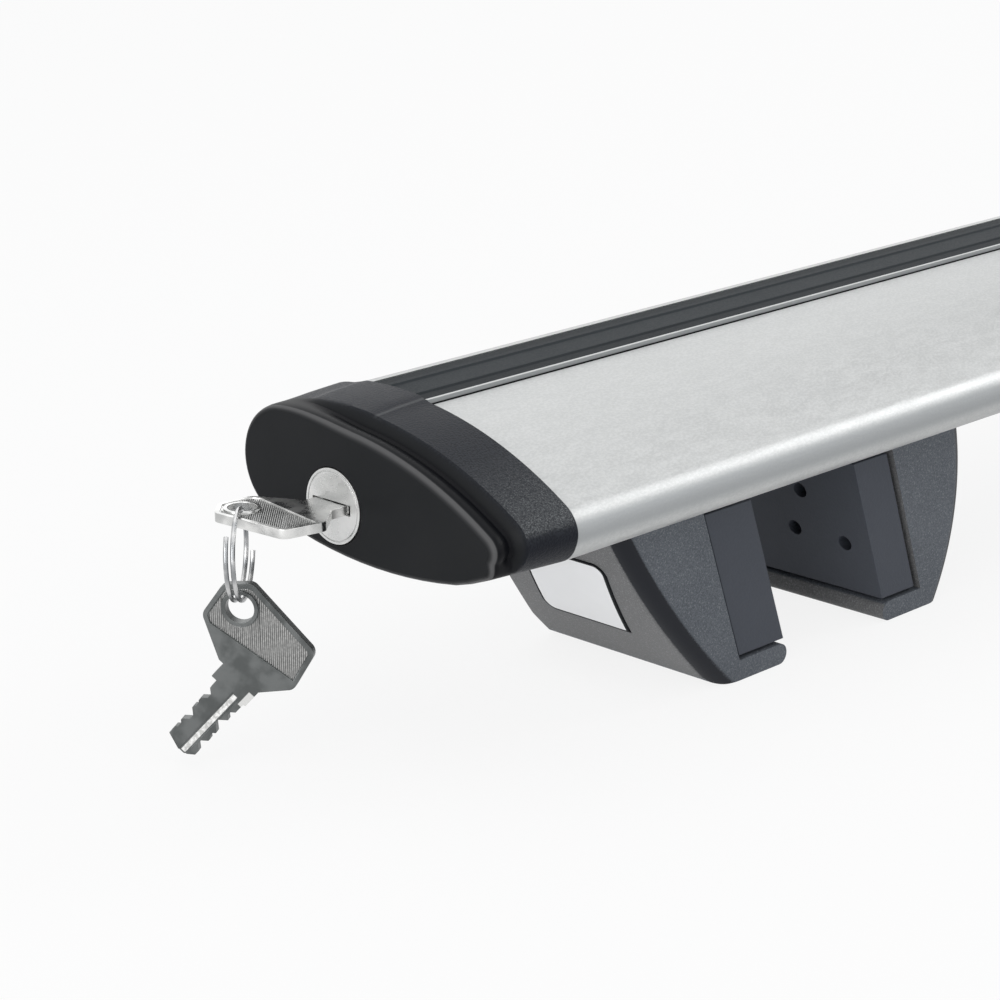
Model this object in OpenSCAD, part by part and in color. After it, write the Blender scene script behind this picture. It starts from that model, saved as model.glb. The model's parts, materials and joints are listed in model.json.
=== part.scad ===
// Aerodynamic roof rack crossbar with locking end caps and clamp feet for raised roof rails.
// X runs along the bar, -Y is the trailing edge, +Z is up.
// The origin lies on top of the slot rails at mid length, on the slot's centre line.

/* [Crossbar] */
// Overall length over both end caps
bar_length = 1180; // [900:10:1400]
// Radius of the blunt leading edge
nose_r = 12.3; // [11.5:0.1:13.5]
// Radius of the slim trailing edge
tail_r = 6.4; // [5.5:0.1:7]
// Leading edge centre, ahead of the slot centre line
nose_y = 11.6; // [11:0.1:13]
// Leading edge centre, below the slot rails
nose_drop = 13.4; // [13:0.1:14]
// Trailing edge centre, behind the slot centre line
tail_y = 45.2; // [43:0.1:48]
// Trailing edge centre, below the slot rails
tail_drop = 20; // [19.5:0.1:20.5]
// Radius of the long upper surface
crown_r = 93; // [90:1:100]
// Radius of the long lower surface
belly_r = 116; // [110:1:130]
// Thickness of the outer skin
skin = 2.2; // [1.8:0.1:2.6]
// Thickness of the inner ribs
rib = 1.8; // [1.4:0.1:2.2]

/* [Accessory slot] */
// Width of the strip recess between the slot rails
strip_w = 18; // [16:0.5:19]
// Thickness of the slot rails beside the strip
rail_t = 0.8; // [0.6:0.1:1.2]
// Depth of the strip recess
strip_depth = 2.2; // [1.8:0.1:2.6]
// Width of the slot mouth between the lips
mouth_w = 11; // [10:0.5:12]
// Thickness of the slot lips
lip_t = 2; // [1.6:0.1:2.4]
// Width of the slot chamber
chamber_w = 20.5; // [20:0.1:21.5]
// Height of the slot chamber
chamber_h = 7; // [6.5:0.1:7.4]
// Height of the two ridges on the strip
strip_ridge = 0.35; // [0.2:0.05:0.6]

/* [Foot channel] */
// Channel centre line, behind the slot centre line
channel_y = 16; // [15.5:0.1:17]
// Width of the channel mouth
channel_mouth = 9.2; // [8:0.1:10]
// Inner width of the channel
channel_w = 15; // [14.5:0.1:15.5]
// Inner height of the channel
channel_h = 11.4; // [11.2:0.1:12]
// Thickness of the channel lips, measured at its centre line
channel_lip = 2.2; // [1.8:0.1:2.6]

/* [End cap] */
// Length of the cap that shows beyond the bar
cap_len = 21; // [20:0.5:26]
// How far the cap stands proud of the bar at the joint
cap_proud = 1; // [0.6:0.1:1.5]
// Extra height of the pad over the slot strip
cap_pad = 0.7; // [0.4:0.1:0.8]
// How much the cap slims towards its face under the trailing edge
tip_taper = 1.15; // [0.8:0.05:1.5]
// Depth of the cove behind the face plate
cove = 1.9; // [1:0.1:2.4]
// Wall of the cap shell
cap_wall = 2.4; // [2:0.1:3]
// Length of the tongues inside the bar
tongue_len = 16; // [12:1:20]
// Gap between the cap and the end of the bar
cap_gap = 0.3; // [0.2:0.1:0.5]

/* [Lock] */
// Lock axis, behind the slot centre line
lock_y = 4; // [3.8:0.1:4.4]
// Lock axis, below the slot rails
lock_drop = 19; // [18.6:0.1:19.2]
// Radius of the lock disc
disc_r = 8; // [7.5:0.1:8.5]
// Thickness of the lock disc
disc_t = 1.8; // [1.4:0.1:2.2]
// How far the disc stands out of the face plate
disc_proud = 0.2; // [0.1:0.1:0.8]
// Radius of the lock plug
plug_r = 5.8; // [5.5:0.1:6]
// Wall of the lock sleeve
sleeve_wall = 1.4; // [1.2:0.1:1.8]
// Reach of the cam from the lock axis
cam_reach = 8.2; // [7.6:0.1:8.6]
// Thickness of the cam
cam_t = 2; // [1.5:0.1:2.5]

/* [Keys] */
// Length of the key blade
blade_len = 17.4; // [16:0.2:18]
// Width of the key blade
blade_w = 7.4; // [7:0.1:8]
// Thickness of the key
key_t = 2; // [1.6:0.1:2.2]
// Width of the key's neck
neck_w = 9.2; // [8.8:0.1:9.6]
// How far the neck reaches into the lock disc
key_seat = 0.2; // [0.1:0.1:0.8]
// Width of the bow
bow_w = 24.8; // [23:0.2:26]
// Reach of the bow on the bit side of the blade's centre line
bow_hi = 8.8; // [8:0.1:10]
// Length of the bow and neck
bow_len = 21.2; // [20:0.2:23]
// Radius of the hole in the bow
bow_hole_r = 3; // [2.8:0.1:3.4]
// Mean radius of the split ring
ring_r = 9.2; // [9:0.1:11]
// Thickness of the ring wire
ring_wire = 1; // [0.8:0.1:1.2]

/* [Feet] */
// Distance from the end face to the middle of the outer jaw's sloping side
foot_e = 61.8; // [60:0.5:80]
// Height of the jaws below the lowest line of the bar
foot_h = 42.2; // [40:0.5:50]
// Width of the jaws across the car
foot_w = 52.4; // [48:0.2:54]
// Middle of the jaws, behind the slot centre line
foot_y = 12.3; // [12:0.1:14]
// Lean of the gripping faces from the vertical
lean = 19.3; // [17:0.1:21]
// Distance between the two gripping faces
rail_gap = 36; // [32:0.5:40]
// Thickness of the outer pad, measured along the bar
outer_pad_t = 15.9; // [14:0.1:17]
// Thickness of the inner pad, measured along the bar
inner_pad_t = 14; // [12:0.1:16]
// Width of the outer jaw above its pad seat, at mid height
outer_jaw_w = 19.9; // [19:0.1:24]
// Radius of the outer jaw's sloping side
outer_side_r = 200; // [150:5:260]
// Slope of the outer jaw's side from the vertical, at mid height
outer_slope = 38; // [35:0.5:40]
// Radius of the inner jaw's round side
inner_side_r = 60.6; // [55:0.5:70]
// Width of the inner jaw behind its pad seat, at mid height
inner_jaw_w = 21.8; // [21:0.1:25]
// Gap between the pads and the lips below them
pad_lift = 0.9; // [0.8:0.1:1.4]
// Radius of the blind holes in the inner pad
pad_hole_r = 1.8; // [1.2:0.1:2.4]
// Round on the front edge of the jaws
jaw_round = 4.5; // [3:0.1:5.5]
// Round on the back edge of the jaws
jaw_back_round = 2.8; // [1:0.1:4]
// Round between the outer jaw's side and its underside
outer_corner_r = 9; // [6:0.5:11]
// Round between the inner jaw's side and its underside
inner_corner_r = 5; // [3:0.5:7]
// How far the outer jaw's back edge leans forward for each millimetre of height
back_lean = 0.31; // [0.1:0.01:0.4]
// Thickness of the lip below the pads
hook_t = 4.8; // [4:0.1:6]
// How far the lip reaches past the pad
hook_over = 0.4; // [0.2:0.1:1.5]

/* [Badge plate] */
// Width of the plain plate
badge_w = 25; // [20:0.5:27]
// Height of the plain plate
badge_h = 20.4; // [16:0.2:21]
// Sideways lean of the plate over its height
badge_skew = 6.3; // [0:0.1:8]
// Round on two of the plate's corners
badge_corner_r = 2.4; // [1:0.1:4]
// Depth of the plate's recess
badge_depth = 1.2; // [0.8:0.1:1.5]
// How far the plate stands out of its recess
badge_proud = 0.3; // [0:0.05:0.5]

/* [Clamp screw] */
// Thread diameter of the clamp screw
screw_d = 6; // [5:0.5:6]
// Length of the clamp screw below its head
screw_len = 130; // [125:5:140]
// How far the outer anchor reaches back past the middle of the jaw's side
anchor_back = 12; // [10:0.5:13]

/* [Fits] */
// Sliding clearance all round in the channels
slide_fit = 0.2; // [0.1:0.05:0.3]
// Running clearance on a radius
run_fit = 0.06; // [0.03:0.01:0.1]
// Clearance of moulded parts
mould_fit = 0.3; // [0.2:0.05:0.4]

/* [Hidden] */
$fn = 96;
e = 0.01;
big = 400;

alu = "#d2d5d5";
black_plastic = "#2b2d30";
dark_nylon = "#4b5058";
rubber = "#484c56";
strip_rubber = "#50545a";
nickel = "#d9dada";
zinc = "#a9acad";
steel = "#8f9395";
plate_white = "#eceef0";

// Section of the bar: four arcs that run into each other
function unit(v) = v / norm(v);
function arc_centre(a, ra, b, rb, r, up) =
  let (d = norm(b - a), s = ((r - ra) ^ 2 - (r - rb) ^ 2 + d ^ 2) / (2 * d),
    h = sqrt((r - ra) ^ 2 - s ^ 2), u = (b - a) / d, p = [-u[1], u[0]])
  a + s * u + (p[1] * up > 0 ? 1 : -1) * h * p;
nose = [nose_y, -nose_drop];
tail = [-tail_y, -tail_drop];
crown_c = arc_centre(nose, nose_r, tail, tail_r, crown_r, -1);
belly_c = arc_centre(nose, nose_r, tail, tail_r, belly_r, 1);
crown_z = crown_c[1] + crown_r;
belly_z = belly_c[1] - belly_r;
function heading(v) = (atan2(v[1], v[0]) + 360) % 360;
a_nose_top = heading(nose - crown_c);
a_tail_top = heading(tail - crown_c);
a_tail_low = heading(tail - belly_c);
a_nose_low = heading(nose - belly_c) - 360;

// Slot and channel levels
lip_top = -strip_depth;
slot_top = lip_top - lip_t;
slot_floor = slot_top - chamber_h;
slot_under = slot_floor - rib;
ch_lip_top = belly_c[1] - sqrt(belly_r ^ 2 - (channel_y + belly_c[0]) ^ 2) + channel_lip;
ch_top = ch_lip_top + channel_h;
ch_c = -channel_y;
slot_out = chamber_w / 2 + rib;
ch_out = channel_w / 2 + rib;
tail_rib = -(channel_y + ch_out + 11);
// How far the strip's feet reach into the slot chamber
strip_foot = 2.2;

// Lock and key levels
lock_c = [-lock_y, -lock_drop];
sleeve_r = plug_r + run_fit + sleeve_wall;
sleeve_len = cap_len - 2;
cam_e = cap_len + 5;
window = [cam_t + 1.4, 2 * sqrt(cam_reach ^ 2 - (lock_drop + slot_under) ^ 2)];
tailpiece_r = 2.3;
cam_w = 2 * tailpiece_r;
cam_screw_r = 1.5;

// Foot levels, measured from the end face of the left cap
jaw_low = belly_z - foot_h;
jaw_mid = (belly_z + jaw_low) / 2;
slope = tan(lean);
seat_low = jaw_low + hook_t;
jaw_top = belly_z + 8;
front_y = -foot_y - foot_w / 2;
back_y = -foot_y + foot_w / 2;
outer_seat = foot_e + outer_jaw_w;
outer_grip = outer_seat + outer_pad_t;
inner_grip = outer_grip + rail_gap;
inner_seat = inner_grip + inner_pad_t;
inner_side = inner_seat + inner_jaw_w;
outer_side_c = [foot_e, jaw_mid] + outer_side_r * [cos(outer_slope), sin(outer_slope)];
inner_side_c = [inner_side - inner_side_r, jaw_mid + 8];
function seat_x(mid, z) = mid + (jaw_mid - z) * slope;
pad_top = belly_z - 1.2;
outer_anchor_x = foot_e - anchor_back;
anchor_len = 26;
anchor_end = 4;
neck_plate_w = 20;
neck_plate_t = 4;
tang_t = 8;
tang_w = 16;
tang_low = belly_z - 15;
outer_tang_x = foot_e + 0.4;
inner_anchor_x = inner_side - 26;
inner_tang_x = inner_side - 19;
anchor_z = (ch_lip_top + ch_top) / 2;
jaw_screw_z = belly_z - 10.4;
jaw_screw_r = 2.5;
jaw_screw_head_r = 4.2;
jaw_screw_head_h = 2.6;
// Depth of the jaw screws' heads below the pad seat
jaw_screw_sink = 1.6;
nut_w = 10;
nut_hole = nut_w / 2 + 0.1;
nut_t = 5;
washer_t = 1.4;
head_x = outer_anchor_x - washer_t - 0.02;
head_h = screw_d;
washer_r = 5.4;

// Placing of the two ends
module at_left() { translate([-bar_length / 2, 0, 0]) children(); }
module at_right() { mirror([1, 0, 0]) translate([-bar_length / 2, 0, 0]) children(); }
// Extrudes an outline drawn in Y and Z along the bar
module along_bar(x0, x1) {
  translate([x0, 0, 0]) rotate([90, 0, 90]) linear_extrude(x1 - x0) children();
}
// Extrudes an outline drawn in X and Z across the bar
module across_bar(y0, y1) {
  translate([0, y1, 0]) rotate([90, 0, 0]) linear_extrude(y1 - y0) children();
}
module rod(x0, x1, r, c) { translate([x0, c[0], c[1]]) rotate([0, 90, 0]) cylinder(h = x1 - x0, r = r); }
module block(x0, x1, y0, y1, z0, z1) {
  translate([x0, y0, z0]) cube([x1 - x0, y1 - y0, z1 - z0]);
}
module plate(y0, y1, z0, z1) { translate([y0, z0]) square([y1 - y0, z1 - z0]); }

module wing(grow = 0) {
  reach = nose_r + 30;
  u1 = unit(nose - crown_c);
  u2 = unit(tail - crown_c);
  v1 = unit(nose - belly_c);
  v2 = unit(tail - belly_c);
  translate(nose) circle(nose_r + grow);
  translate(tail) circle(tail_r + grow);
  intersection() {
    translate(crown_c) circle(crown_r + grow);
    translate(belly_c) circle(belly_r + grow);
    polygon([nose, nose + reach * u1, tail + reach * u2, tail, tail + reach * v2, nose + reach * v1]);
  }
}

module chambers() {
  difference() {
    wing(-skin);
    plate(-slot_out, slot_out, slot_under, big);
    plate(ch_c - ch_out, ch_c + ch_out, -big, slot_under + e);
    plate(slot_out - rib, slot_out, -big, slot_under + e);
    plate(tail_rib - rib, tail_rib, -big, big);
  }
}

module crossbar_profile() {
  rail_y = strip_w / 2 + rail_t;
  half = bar_length / 2 - cap_len - cap_gap;
  color(alu) difference() {
    along_bar(-half, half) difference() {
      union() {
        wing();
        plate(-rail_y, rail_y, slot_top, 0);
      }
      chambers();
      plate(-strip_w / 2, strip_w / 2, lip_top, big);
      plate(-mouth_w / 2, mouth_w / 2, slot_top - e, big);
      plate(-chamber_w / 2, chamber_w / 2, slot_floor, slot_top);
      // Fine groove at the foot of the rear rail
      plate(-rail_y - 0.6, -rail_y, crown_z - 1.6, big);
      plate(ch_c - channel_mouth / 2, ch_c + channel_mouth / 2, -big, ch_lip_top + e);
      plate(ch_c - channel_w / 2, ch_c + channel_w / 2, ch_lip_top, ch_top);
    }
    // Windows that the lock cams turn into
    for (s = [-1, 1]) translate([s * (bar_length / 2 - cam_e - cam_t / 2), 0, 0])
      block(-window[0] / 2, window[0] / 2, lock_c[0] - cam_w / 2 - 0.5,
        lock_c[0] + window[1] / 2 + 0.5, slot_under - e, slot_floor + e);
  }
}

module slot_strip() {
  half = bar_length / 2 - cap_len - cap_gap;
  w = strip_w / 2 - 0.1;
  m = mouth_w / 2 - 0.15;
  color(strip_rubber) along_bar(-half, half) polygon([
    [-w, lip_top], [-w, -0.25], [-w + 0.4, -0.1], [-w * 0.62, -0.1],
    [-w * 0.56, strip_ridge - 0.1], [-w * 0.42, strip_ridge - 0.1], [-w * 0.36, -0.1],
    [w * 0.36, -0.1], [w * 0.42, strip_ridge - 0.1], [w * 0.56, strip_ridge - 0.1],
    [w * 0.62, -0.1], [w - 0.4, -0.1], [w, -0.25], [w, lip_top],
    [m, lip_top], [m, slot_top - 0.1], [m + 1.2, slot_top - 0.5], [m - 0.6, slot_top - strip_foot],
    [m - 1.6, slot_top - strip_foot], [m - 1.6, lip_top - 0.8],
    [-m + 1.6, lip_top - 0.8], [-m + 1.6, slot_top - strip_foot], [-m + 0.6, slot_top - strip_foot],
    [-m - 1.2, slot_top - 0.5], [-m, slot_top - 0.1], [-m, lip_top]
  ]);
}

// End cap. Its skin is lofted through stations along the bar, each one the bar's
// section moved out or in. The cove and the strip pad fade in and out round it.
function arc_steps(c, r, a0, a1, n) =
  [for (i = [0:n - 1]) let (a = a0 + (a1 - a0) * i / n) [c, r, [cos(a), sin(a)]]];
cove_start = 14;
cove_fade = 24;
rim = concat(
  arc_steps(nose, nose_r, a_nose_low, a_nose_top, 30),
  arc_steps(crown_c, crown_r, a_nose_top, a_tail_top, 34),
  arc_steps(tail, tail_r, a_tail_top, a_tail_low, 22),
  arc_steps(belly_c, belly_r, a_tail_low, a_nose_low + 360, 14));
function rim_point(s, grow) = s[0] + (s[1] + grow) * s[2];
function ease(t) = let (c = max(0, min(1, t))) c * c * (3 - 2 * c);
// 1 where the cove is full, 0 round the nose and along the underside
function cove_at(s) = let (p = rim_point(s, 0), a = heading(s[2]))
  a < 180 ? ease((cove_start - p[0]) / cove_fade) : 1 - ease((a - 196) / 42);
// 1 over the slot strip, 0 beside it
function pad_at(s) = let (p = rim_point(s, 0))
  s[2][1] < 0.3 ? 0 : ease((strip_w / 2 + 1 - abs(p[0])) / 1.2);
// Full under the trailing edge, where the cap slims towards its face
function tip_at(s) = let (p = rim_point(s, 0))
  ease((heading(s[2]) - 150) / 80) * ease((7 - tail_y - p[0]) / 10);
// Distance from the face, growth above, growth of the cove, rise of the pad
stations = [
  [0, -1.1, -1.2 * cove, 0], [0.2, -0.6, -1.08 * cove, 0], [0.6, -0.2, -0.96 * cove, 0],
  [1.2, 0, -0.88 * cove, 0], [2.2, 0.15, -0.85 * cove, 0], [3.3, 0.18, -1.02 * cove, 0],
  [4.3, 0.2, -1.3 * cove, 0], [5.1, 0.2, -1.42 * cove, 0], [5.8, 0.22, -1.25 * cove, 0],
  [6.3, 0.24, -0.7 * cove, 0.1], [6.8, 0.26, -0.2 * cove, 0.25], [7.4, 0.3, 0, 0.4],
  [8.5, 0.35, 0, 0.5], [13, 0.65 * cap_proud, 0, 0.85],
  [cap_len - 0.4, cap_proud, 0, 1], [cap_len, cap_proud - 0.3, 0, 1]
];
// The underside stays level with the bar
function above(s) = 1 - ease(s[2][0] < 0 ? (heading(s[2]) - 160) / 60 : -2 * s[2][1]);
function station_ring(t) = [for (s = rim)
  let (grow = t[1] > 0 ? t[1] * above(s) : t[1], taper = tip_taper * (1 - t[0] / cap_len) * tip_at(s),
    q = rim_point(s, grow - taper + t[2] * cove_at(s) + t[3] * cap_pad * pad_at(s)))
  [t[0], q[0], q[1]]];
module loft(rings) {
  n = len(rings[0]);
  k = len(rings);
  polyhedron(
    points = [for (r = rings) each r],
    faces = concat(
      [[for (i = [0:n - 1]) i]],
      [[for (i = [n - 1:-1:0]) (k - 1) * n + i]],
      [for (j = [0:k - 2], i = [0:n - 1])
        [j * n + i, (j + 1) * n + i, (j + 1) * n + (i + 1) % n, j * n + (i + 1) % n]]));
}

module cap_tongues() {
  inner = skin + mould_fit;
  difference() {
    along_bar(cap_len - 4, cap_len + tongue_len) intersection() {
      wing(-inner);
      union() {
        plate(slot_out + mould_fit, big, -big, big);
        plate(-big, tail_rib - rib - mould_fit, -big, big);
      }
    }
    along_bar(cap_len - 5, cap_len + tongue_len + 1) intersection() {
      wing(-inner - cap_wall * 0.75);
      union() {
        plate(slot_out + mould_fit + cap_wall * 0.75, big, -big, big);
        plate(-big, tail_rib - rib - mould_fit - cap_wall * 0.75, -big, big);
      }
    }
  }
}

module end_cap() {
  bore = sleeve_r + run_fit;
  difference() {
    union() {
      difference() {
        loft([for (t = stations) station_ring(t)]);
        along_bar(cap_wall, cap_len + 1) wing(-cap_wall - cove - 0.6);
      }
      rod(cap_wall - 1, cap_len - 1.5, bore + 2, lock_c);
      // Cross walls that stiffen the shell behind the face
      along_bar(cap_wall - 1, cap_len - 6) intersection() {
        wing(-cap_wall - cove);
        union() {
          plate(slot_out, slot_out + rib, -big, big);
          plate(ch_c - rib / 2, ch_c + rib / 2, -big, big);
          plate(tail_rib - rib, tail_rib, -big, big);
        }
      }
      cap_tongues();
      // Carrier of the tongues and plug for the end of the slot
      along_bar(cap_len - 4, cap_len) difference() {
        wing(-cap_wall - cove + 0.4);
        wing(-skin - mould_fit - cap_wall * 0.75);
      }
      block(cap_len - 4, cap_len + 4, -chamber_w / 2 + mould_fit, chamber_w / 2 - mould_fit,
        slot_floor + mould_fit, slot_top - strip_foot - mould_fit);
    }
    rod(-1, cap_len + 10, bore, lock_c);
    rod(-1, disc_t - disc_proud + 0.2, disc_r + 0.2, lock_c);
  }
}

module lock_sleeve() {
  difference() {
    rod(disc_t - disc_proud + 0.3, sleeve_len, sleeve_r, lock_c);
    rod(-1, sleeve_len + 1, plug_r + run_fit, lock_c);
  }
}

module lock_plug() {
  y = lock_c[0];
  z = lock_c[1];
  mouth = neck_w / 2 + 1;
  way = blade_w / 2 + 0.2;
  gap = key_t / 2 + 0.12;
  difference() {
    union() {
      rod(-disc_proud, disc_t - disc_proud, disc_r, lock_c);
      rod(disc_t - disc_proud - e, sleeve_len + 0.3, plug_r, lock_c);
      rod(sleeve_len, cam_e, tailpiece_r, lock_c);
    }
    // Fine turned line that sets off the rim of the disc
    translate([-disc_proud - e, y, z]) rotate([0, 90, 0]) difference() {
      cylinder(h = 0.25, r = disc_r - 0.55);
      cylinder(h = 0.25, r = disc_r - 0.8);
    }
    block(-1, 1, y - mouth + 0.4, y + mouth + 0.4, z - gap, z + gap);
    block(-1, blade_len + key_x + 1, y - way, y + way, z - gap, z + gap);
    rod(cam_e - 5, cam_e + 1, cam_screw_r, lock_c);
  }
}

module lock_cam() {
  difference() {
    union() {
      rod(cam_e, cam_e + cam_t, tailpiece_r, lock_c);
      block(cam_e, cam_e + cam_t, lock_c[0], lock_c[0] + cam_reach - 0.5,
        lock_c[1] - cam_w / 2, lock_c[1] + cam_w / 2);
      intersection() {
        rod(cam_e, cam_e + cam_t, cam_reach, lock_c);
        block(cam_e, cam_e + cam_t, lock_c[0], lock_c[0] + cam_reach,
          lock_c[1] - cam_w / 2 + 0.5, lock_c[1] + cam_w / 2 - 0.5);
      }
    }
    rod(cam_e - 1, cam_e + cam_t + 1, cam_screw_r + 0.1, lock_c);
  }
}

module cam_screw() {
  x = cam_e + cam_t;
  difference() {
    union() {
      rod(cam_e - 4.5, x + e, cam_screw_r, lock_c);
      rod(x, x + 1.8, 2.2, lock_c);
    }
    block(x + 1, x + 3, lock_c[0] - 0.3, lock_c[0] + 0.3, lock_c[1] - 3, lock_c[1] + 3);
    block(x + 1, x + 3, lock_c[0] - 3, lock_c[0] + 3, lock_c[1] - 0.3, lock_c[1] + 0.3);
  }
}

// Key, drawn flat: X runs from the blade's tip to the bow, Y across it
bow_lo = bow_hi - bow_w;
bow_hole = [bow_len - 5.8, bow_lo + 5.8];
bit_depths = [1.2, 0.5, 1.5, 0.8];
module bow_outline(inset = 0) {
  rounding = 2.2 - inset;
  module knob(x, y) { translate([x, y]) circle(r = rounding, $fn = 32); }
  hull() {
    knob(bow_len * 0.38 + 2.2, bow_lo + 2.9);
    knob(bow_len - 5.2, bow_lo + 2.2);
    knob(bow_len - 2.2, bow_lo + 5);
    knob(bow_len - 3.8, bow_hi - 3.6);
    knob(bow_len * 0.38 + 2.6, bow_hi - 2.2);
    translate([bow_len * 0.18 + inset, -6.2]) square([1, 10]);
  }
}
module flat_key() {
  half = key_t / 2;
  pitch = (blade_len - 5) / len(bit_depths);
  difference() {
    union() {
      translate([0, 0, -half]) linear_extrude(key_t) difference() {
        bow_outline();
        translate(bow_hole) circle(bow_hole_r);
      }
      translate([0, 0, -half]) linear_extrude(key_t) difference() {
        polygon([[-blade_len, 0.4], [-blade_len + 1.4, -blade_w / 2 + 0.4], [3, -blade_w / 2],
          [3, blade_w / 2], [-blade_len + 1.6, blade_w / 2], [-blade_len, 1.8]]);
        // Bit notches
        for (i = [0:len(bit_depths) - 1], s = [-1, 1]) {
          d = bit_depths[s > 0 ? i : len(bit_depths) - 1 - i];
          translate([-blade_len + 4.4 + i * pitch, s * blade_w / 2]) polygon([
            [-d - 0.5, 0.1 * s], [-0.5, -d * s], [0.5, -d * s], [d + 0.5, 0.1 * s]]);
        }
      }
      translate([0, 0, -half]) linear_extrude(key_t) plate(0, 6, -neck_w / 2 - 0.4, neck_w / 2 - 0.4);
      // Rim round the hole
      translate([bow_hole[0], bow_hole[1], -half - 0.2]) difference() {
        cylinder(h = key_t + 0.4, r = bow_hole_r + 0.8);
        translate([0, 0, -1]) cylinder(h = key_t + 3, r = bow_hole_r);
      }
    }
    // Guide groove along the blade
    block(-blade_len - 1, 0.5, 0.4, 2.2, 0.35 * key_t, half + 1);
    block(-blade_len - 1, 0.5, -2.2, -0.4, -half - 1, -0.35 * key_t);
    // Sunk panels on both sides of the bow
    for (s = [0, 180]) rotate([s, 0, 0]) translate([0, 0, half - 0.25]) linear_extrude(1)
      intersection() {
        mirror([0, s == 0 ? 0 : 1]) difference() {
          bow_outline(1);
          translate(bow_hole) circle(bow_hole_r + 0.8);
        }
        polygon([[0.38 * bow_len, bow_lo * (s == 0 ? 1 : -1)], [bow_len, bow_lo * (s == 0 ? 1 : -1)],
          [bow_len, bow_hi * (s == 0 ? 1 : -1)], [0.55 * bow_len, bow_hi * (s == 0 ? 1 : -1)]]);
      }
  }
}

key_x = key_seat - disc_proud;
module key_shape() {
  translate([key_x, lock_c[0], lock_c[1]]) mirror([1, 0, 0]) mirror([0, 1, 0]) flat_key();
}

// Split ring and spare key hang below the edge of the bow
ring_turn = 39.3;
spare_turn = -56;
away = [-cos(ring_turn), -sin(ring_turn)];
hole_at = [key_x - bow_hole[0], lock_c[0] - bow_hole[1]];
bridge = 3.4;
ring_rest = 0.23;
ring_at = hole_at + (bow_hole_r + bridge / 2) * away;
ring_in = ring_r - ring_wire / 2;
ring_z = lock_c[1] + key_t / 2 + ring_rest - sqrt(ring_in ^ 2 - (bridge / 2) ^ 2);
ring_pitch = ring_wire + 0.42;
ring_start = 140;
ring_sweep = 567;
ring_pts = 76;
function ring_angle(t) = ring_start + t * ring_sweep;
function ring_path(t) = let (a = ring_angle(t))
  [ring_r * cos(a), ring_pitch * ring_sweep / 360 * (0.5 - t), ring_r * sin(a)];
module split_ring_wire() {
  sides = 10;
  rings = [for (i = [0:ring_pts]) let (t = i / ring_pts, a = ring_angle(t), p = ring_path(t))
    [for (k = [0:sides - 1]) let (b = 360 * k / sides, w = ring_wire / 2)
      p + w * cos(b) * [cos(a), 0, sin(a)] + w * sin(b) * [0, 1, 0]]];
  loft(rings);
}
module split_ring_shape() {
  translate([ring_at[0], ring_at[1], ring_z]) rotate([0, 0, ring_turn]) split_ring_wire();
}
spare_tilt = 42.3;
module spare_key_shape() {
  translate([ring_at[0], ring_at[1], ring_z - ring_in + 0.55 - bow_hole_r])
    rotate([0, 0, spare_turn]) rotate([90, 0, 0]) rotate([0, 0, 90 - spare_tilt])
      mirror([0, 1, 0]) translate([-bow_hole[0], -bow_hole[1], 0]) flat_key();
}

// Feet
// Body of revolution whose rim, rounded on both edges, is the side of a jaw
module jaw_drum(c, r) {
  translate([c[0], 0, c[1]]) rotate([90, 0, 0]) rotate_extrude($fn = 360) {
    plate(0, r - jaw_round, -back_y, -front_y);
    plate(0, r - jaw_back_round, -back_y, -front_y - jaw_round);
    plate(0, r, -back_y + jaw_back_round, -front_y - jaw_round);
    translate([r - jaw_round, -front_y - jaw_round]) circle(jaw_round, $fn = 48);
    translate([r - jaw_back_round, -back_y + jaw_back_round]) circle(jaw_back_round, $fn = 48);
  }
}
// What a round takes off a corner between two edges that face n1 and n2
module corner_cut(at, n1, n2, r) {
  c = at - r * (n1 + n2) / (1 + n1 * n2);
  difference() {
    polygon([c, c + 1.4 * r * n1, 2 * at - c, c + 1.4 * r * n2]);
    translate(c) circle(r);
  }
}
// Round end of the lip; s is the side that it points to
function hook_end(x, s) = let (k = hook_t / 2)
  [for (a = [90:-15:-90]) [x - s * k + s * k * cos(a), jaw_low + k + k * sin(a)]];
module outer_jaw_outline() {
  polygon(concat(
    [[outer_side_c[0] - outer_side_r - 5, jaw_top], [seat_x(outer_seat, jaw_top), jaw_top],
      [seat_x(outer_seat, seat_low), seat_low]],
    hook_end(seat_x(outer_grip, seat_low) + hook_over, 1),
    [[outer_side_c[0] - outer_side_r - 5, jaw_low]]));
}
module badge_outline(gap = 0) {
  // Drawn in Y and Z, seen from the end of the bar
  y0 = front_y + 9.5;
  z1 = belly_z - 9.6;
  side = unit([badge_h, badge_skew]);
  low_back = [y0 + badge_skew + badge_w + gap, z1 - badge_h - gap];
  top_front = [y0 - gap, z1 + gap];
  difference() {
    polygon([[y0 + badge_skew - gap, z1 - badge_h - gap], low_back, [y0 + badge_w + gap, z1 + gap],
      top_front]);
    corner_cut(low_back, side, [0, -1], badge_corner_r + gap);
    corner_cut(top_front, -side, [0, 1], badge_corner_r + gap);
  }
}
module jaw_screw_hole(x, s) {
  rod(min(x, x + s * 60), max(x, x + s * 60), jaw_screw_r + 0.2, [ch_c, jaw_screw_z]);
}
module anchor_pocket(x, tang_x) {
  g = mould_fit;
  plate_y = neck_plate_w / 2 + g;
  tang_y = tang_w / 2 + g;
  block(x + anchor_end - g, x + anchor_len - anchor_end + g, ch_c - plate_y, ch_c + plate_y,
    belly_z - neck_plate_t - g, jaw_top + 1);
  block(tang_x - g, tang_x + tang_t + g, ch_c - tang_y, ch_c + tang_y, tang_low - g, belly_z);
}
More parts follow.
